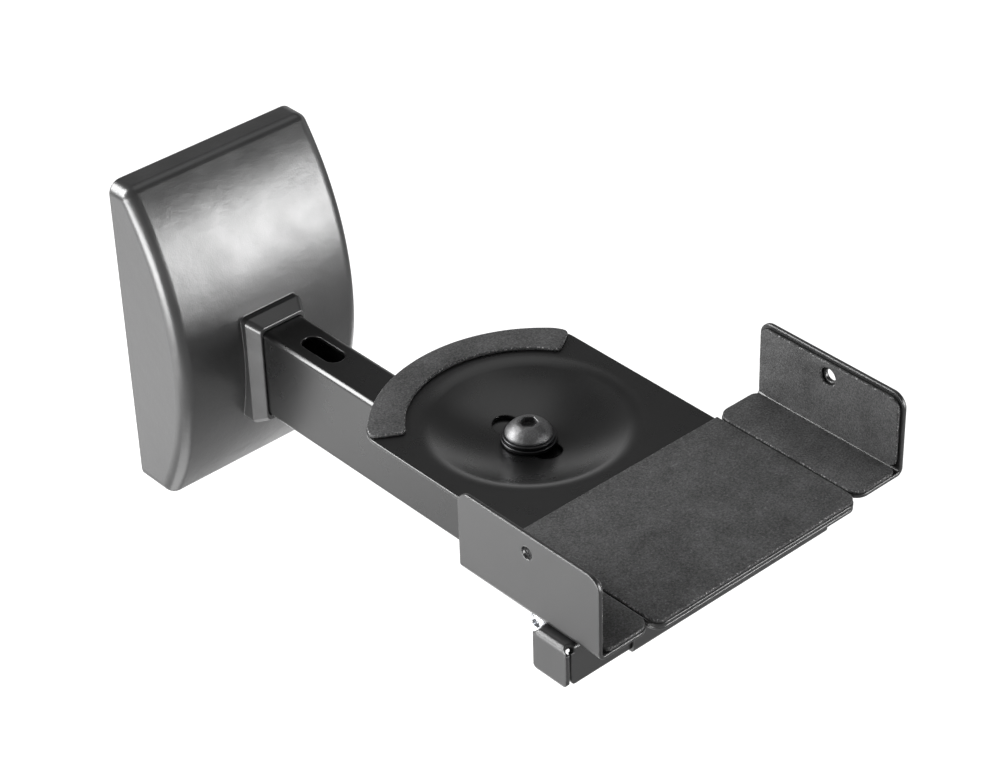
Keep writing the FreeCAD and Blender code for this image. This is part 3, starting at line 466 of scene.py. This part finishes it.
def makePad(name, facing, body):
    facing = Vector(facing)
    across = facing.orthogonal().normalized()
    along = facing.cross(across)
    loops, low, top = faceLoops(nodes[name], facing)
    chance = random.Random(padShape["seed"] + len(name))
    soft, jitter = padShape["soft"], padShape["jitter"]
    levels = [(0.0, low, padShape["wall"])]
    levels += [(inset * soft, top - drop * soft, mark) for inset, drop, mark in padShape["round"]]
    mesh = bmesh.new()
    # the mark carries the pale cut edge above zero and painted shade below zero
    edgeAndShadeMark = mesh.verts.layers.float.new("cutEdgeAndShade")
    caps = {0: [], len(levels) - 1: []}
    for index, (_, turnsLeft, points) in enumerate(outlines(loops, across, along)):
        if turnsLeft != (index == 0):            # outer loops turn left, holes turn right
            points = points[::-1]
        count = len(points)
        waves = [(chance.uniform(*padShape["swing"]), chance.randint(*padShape["turns"]),
                  chance.uniform(*padShape["phase"])) for _ in range(padShape["waves"])]
        rings = []
        for inset, height, mark in levels:
            ring = []
            for i in range(count):
                before, here, after = points[i - 1], points[i], points[(i + 1) % count]
                run = Vector((after[0] - before[0], after[1] - before[1])).normalized()
                wave = sum(w * math.sin(n * i * math.tau / count + s) for w, n, s in waves) / 3
                bite = max(-1, min(1, wave + chance.uniform(-jitter, jitter)))
                push = inset + padShape["rough"] * (0.5 + 0.5 * bite)
                x, y = here[0] - run.y * push, here[1] + run.x * push
                vert = mesh.verts.new(across * x + along * y + facing * height)
                vert[edgeAndShadeMark] = mark
                ring.append(vert)
            rings.append(ring)
        for lower, upper in zip(rings, rings[1:]):
            for i in range(count):
                j = (i + 1) % count
                mesh.faces.new((lower[i], lower[j], upper[j], upper[i]))
        for level in caps:
            ring = rings[level]
            caps[level] += [mesh.edges.get((ring[i], ring[(i + 1) % count])) for i in range(count)]
    for level, edges in caps.items():
        bmesh.ops.triangle_fill(mesh, edges=edges, use_beauty=True,
                                normal=facing if level else -facing)
    made = finishMesh(mesh, name + "_foam")
    pad = addPiece(name + "_foam", made, "padFoam", body, name)


for name, (facing, body) in pads.items():
    makePad(name, facing, body)
say("pads")


# screws with cut threads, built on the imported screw's axis and box
# heights run from the tip: no thread from plainFrom to plainTo, the other hand past handChange

screws = {
    "pivot_screw": dict(headWay=(0, 0, 1), body="wall_frame", finish="headSteel", slot="dark_screw",
                        shank=0.010, headHeight=0.0048, land=0.0006, key=0.006, keyDepth=0.0028,
                        pitch=0.0015, depth=0.00075, plainFrom=0.030, plainTo=1.0, tip=0.0008,
                        handChange=1.0, round=48, perPitch=8),
    "clamp_screw": dict(headWay=(-1, 0, 0), body="clamp_screw", finish="brightZinc", slot="zinc",
                        shank=0.005, headHeight=0.00275, land=0.00035, key=0.003, keyDepth=0.0016,
                        pitch=0.0008, depth=0.00042, plainFrom=0.0625, plainTo=0.0705, tip=0.0006,
                        handChange=0.0665, round=30, perPitch=6),
}
headShape = dict(domeSteps=12, rimEase=0.1, keyEase=0.06, keyCone=1.15, sharp=38)


def threadRadius(screw, shank, along, fade):
    hand = 1 if along < screw["handChange"] else -1

    def radius(turn):
        groove = 0.5 - 0.5 * math.cos(math.tau * (along / screw["pitch"] - hand * turn))
        return shank - fade * screw["depth"] * groove
    return radius


def screwRings(screw, length, headSize):
    # (height along the axis, radius or radius by angle) from the tip to the socket's floor
    shank = screw["shank"] / 2
    tip, pitch, high, low = (screw[k] for k in ("tip", "pitch", "headHeight", "land"))
    under = length - high
    rings = [(0.0, 0.0), (0.0, shank - tip)]
    step = pitch / screw["perPitch"]
    for i in range(int((under - tip) / step) + 1):
        along = tip + i * step
        fade = min(1.0, (along - tip) / pitch, max(0.0, (under - along) / pitch))
        if screw["plainFrom"] < along < screw["plainTo"]:
            fade = 0.0
        rings.append((along, threadRadius(screw, shank, along, fade)))
    crown = screw["key"] / math.sqrt(3) + low
    rim = headSize / 2
    centre = (crown ** 2 + high ** 2 - rim ** 2 - low ** 2) / (2 * (high - low))
    dome = math.hypot(rim, low - centre)
    ease = headShape["rimEase"] * low
    rings += [(under, shank), (under, rim - ease), (under + ease, rim), (under + low, rim)]
    first, last = math.atan2(low - centre, rim), math.atan2(high - centre, crown)
    for i in range(1, headShape["domeSteps"] + 1):
        angle = first + (last - first) * i / headShape["domeSteps"]
        rings.append((under + centre + dome * math.sin(angle), dome * math.cos(angle)))
    flat, sixth = screw["key"] / 2, math.tau / 6

    def hexagon(turn):
        return flat / math.cos((turn * math.tau + sixth / 2) % sixth - sixth / 2)

    ease = headShape["keyEase"] * flat
    rings += [(length, lambda turn: hexagon(turn) + ease), (length - ease, hexagon),
              (length - screw["keyDepth"], hexagon),
              (length - headShape["keyCone"] * screw["keyDepth"], 0.0)]
    return rings


def makeScrew(node, screw):
    low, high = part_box(node)
    way = Vector(screw["headWay"])
    centre, size = (low + high) / 2, high - low
    length = abs(size.dot(way))
    headSize = sorted(size)[1]                   # the head is the widest place across the axis
    side = way.orthogonal().normalized()
    other = way.cross(side)
    tip = centre - way * length / 2
    around = screw["round"]
    mesh = bmesh.new()
    rings = []
    for along, reach in screwRings(screw, length, headSize):
        if reach == 0.0:
            rings.append([mesh.verts.new(tip + way * along)])
            continue
        ring = []
        for i in range(around):
            out = reach(i / around) if callable(reach) else reach
            angle = math.tau * i / around
            spoke = side * math.cos(angle) + other * math.sin(angle)
            ring.append(mesh.verts.new(tip + way * along + spoke * out))
        rings.append(ring)
    for lower, upper in zip(rings, rings[1:]):
        for i in range(around):
            j = (i + 1) % around
            corners = [ring[k % len(ring)]
                       for ring, k in ((lower, i), (lower, j), (upper, j), (upper, i))]
            mesh.faces.new(list(dict.fromkeys(corners)))
    made = finishMesh(mesh, node + "_cut")
    made.set_sharp_from_angle(angle=math.radians(headShape["sharp"]))
    addPiece(node + "_cut", made, screw["finish"], screw["body"], node)


for name, screw in screws.items():
    makeScrew(name, screw)
say("screws")


# floor, room and lamps

room = dict(
    floorHeight=-0.34,
    floorReach=25.0,
    floorColor=(0.36, 0.36, 0.36),
    floorPale=(0.7, 0.7, 0.7),
    floorGrain=3.0,
    floorMottle=0.02,                        # share of the pale tone
    floorRough=0.9,
    floorSpecular=0.1,
    floorLift=0.80,                          # what the eye sees added to the lit floor
    floorGloss=0.12,                         # what the gloss sees added
    ambient=0.25,
    skyFall=(0.12, 0.42),                    # heights between which the seen sky darkens
    skyDark=0.16,                            # brightness overhead, as the gloss sees it
)


def makeFloor():
    mesh = bpy.data.meshes.new("paleFloor")
    s, z = room["floorReach"], room["floorHeight"]
    mesh.from_pydata([(-s, -s, z), (s, -s, z), (s, s, z), (-s, s, z)], [], [(0, 1, 2, 3)])
    floor = bpy.data.objects.new("paleFloor", mesh)
    scene.collection.objects.link(floor)
    material, tree, shader = newMaterial("paleFloor")
    grain = tree.noise(tree.add("ShaderNodeTexCoord").outputs["Object"], room["floorGrain"], 3.0)
    tone = tree.mix(tree.math("MULTIPLY", grain, room["floorMottle"]),
                    (*room["floorColor"], 1), (*room["floorPale"], 1))
    tree.link(tone, shader.inputs["Base Color"])
    shader.inputs["Roughness"].default_value = room["floorRough"]
    shader.inputs["Specular IOR Level"].default_value = room["floorSpecular"]
    path = tree.add("ShaderNodeLightPath").outputs
    eye = tree.math("MAXIMUM", path["Is Camera Ray"], path["Is Transmission Ray"])
    gloss = tree.math("MULTIPLY", path["Is Glossy Ray"], room["floorGloss"])
    shader.inputs["Emission Color"].default_value = (1, 1, 1, 1)
    lift = tree.math("MULTIPLY_ADD", eye, room["floorLift"], gloss)
    tree.link(lift, shader.inputs["Emission Strength"])
    # a view from below looks through the floor
    behind = tree.add("ShaderNodeNewGeometry").outputs["Backfacing"]
    clear = tree.add("ShaderNodeBsdfTransparent")
    pick = tree.add("ShaderNodeMixShader")
    tree.link(behind, pick.inputs[0])
    tree.link(shader.outputs[0], pick.inputs[1])
    tree.link(clear.outputs[0], pick.inputs[2])
    out = next(node for node in tree.tree.nodes if node.type == "OUTPUT_MATERIAL")
    tree.link(pick.outputs[0], out.inputs[0])
    mesh.materials.append(material)


def makeSky():
    world = bpy.data.worlds.new("studioRoom")
    scene.world = world
    world.use_nodes = True
    world.node_tree.nodes.clear()
    tree = Tree(world.node_tree)
    path = tree.add("ShaderNodeLightPath").outputs
    seen = tree.math("MAXIMUM", path["Is Camera Ray"],
                     tree.math("MAXIMUM", path["Is Glossy Ray"], path["Is Transmission Ray"]))
    way = tree.add("ShaderNodeTexCoord").outputs["Generated"]
    split = tree.add("ShaderNodeSeparateXYZ")
    tree.link(way, split.inputs[0])
    fall = tree.spread(split.outputs["Z"], *room["skyFall"], 1.0, room["skyDark"])
    strength = tree.add("ShaderNodeMix")
    strength.data_type = "FLOAT"
    tree.feed(strength.inputs[0], seen)
    strength.inputs[2].default_value = room["ambient"]
    tree.link(fall, strength.inputs[3])
    back = tree.add("ShaderNodeBackground")
    back.inputs["Color"].default_value = (1, 1, 1, 1)
    tree.link(strength.outputs[0], back.inputs["Strength"])
    out = tree.add("ShaderNodeOutputWorld")
    tree.link(back.outputs[0], out.inputs[0])


# each lamp hangs away metres from the point of, on the side toward, and faces that point
lamps = {
    "frontSoftbox": dict(toward=(0.488, -0.835, 0.10), of=(0.0, -0.03, 0.03), away=2.2,
                         size=(0.76, 1.04), power=38.5),
    "backStrip": dict(toward=(-0.60, 0.617, 0.46), along=(-0.69, 0.0, -0.726),
                      of=(0.0, -0.10, 0.0), away=1.2, size=(0.9, 0.5), power=26.0),
    "dishGlow": dict(toward=(0.38, 0.25, 0.82), of=(0.0, -0.1877, 0.03), away=0.9,
                     size=(0.5, 0.5), power=0.5),
    "leftSoftbox": dict(toward=(-0.93, 0.05, -0.08), of=(0.0, -0.15, 0.0), away=0.9,
                        size=(0.7, 0.4), power=12.5),
    "floorBounce": dict(toward=(-0.5415, 0.617, -0.57), of=(-0.05, -0.14, 0.0), away=0.54,
                        size=(0.55, 0.5), power=0.80),
    "coverFoot": dict(toward=(0.54, 0.42, -0.73), of=(0.0, -0.02, -0.06), away=0.3,
                      size=(0.4, 0.18), power=0.40),
    "underBounce": dict(toward=(-0.25, -0.20, -0.95), of=(-0.035, -0.03, -0.06), away=0.25,
                        size=(0.20, 0.20), power=0.25),
}


def hangLamps():
    for name, lamp in lamps.items():
        data = bpy.data.lights.new(name, "AREA")
        data.shape = "RECTANGLE"
        data.size, data.size_y = lamp["size"]
        data.energy = lamp["power"]
        light = bpy.data.objects.new(name, data)
        light.visible_camera = False
        toward = Vector(lamp["toward"]).normalized()
        along = Vector(lamp.get("along", Vector((0, 0, 1)).cross(toward)))
        across = toward.cross(along).normalized()
        turn = Matrix((across.cross(toward), across, toward)).transposed().to_4x4()
        light.matrix_world = Matrix.Translation(Vector(lamp["of"]) + toward * lamp["away"]) @ turn
        scene.collection.objects.link(light)


makeFloor()
makeSky()
hangLamps()
say("room")
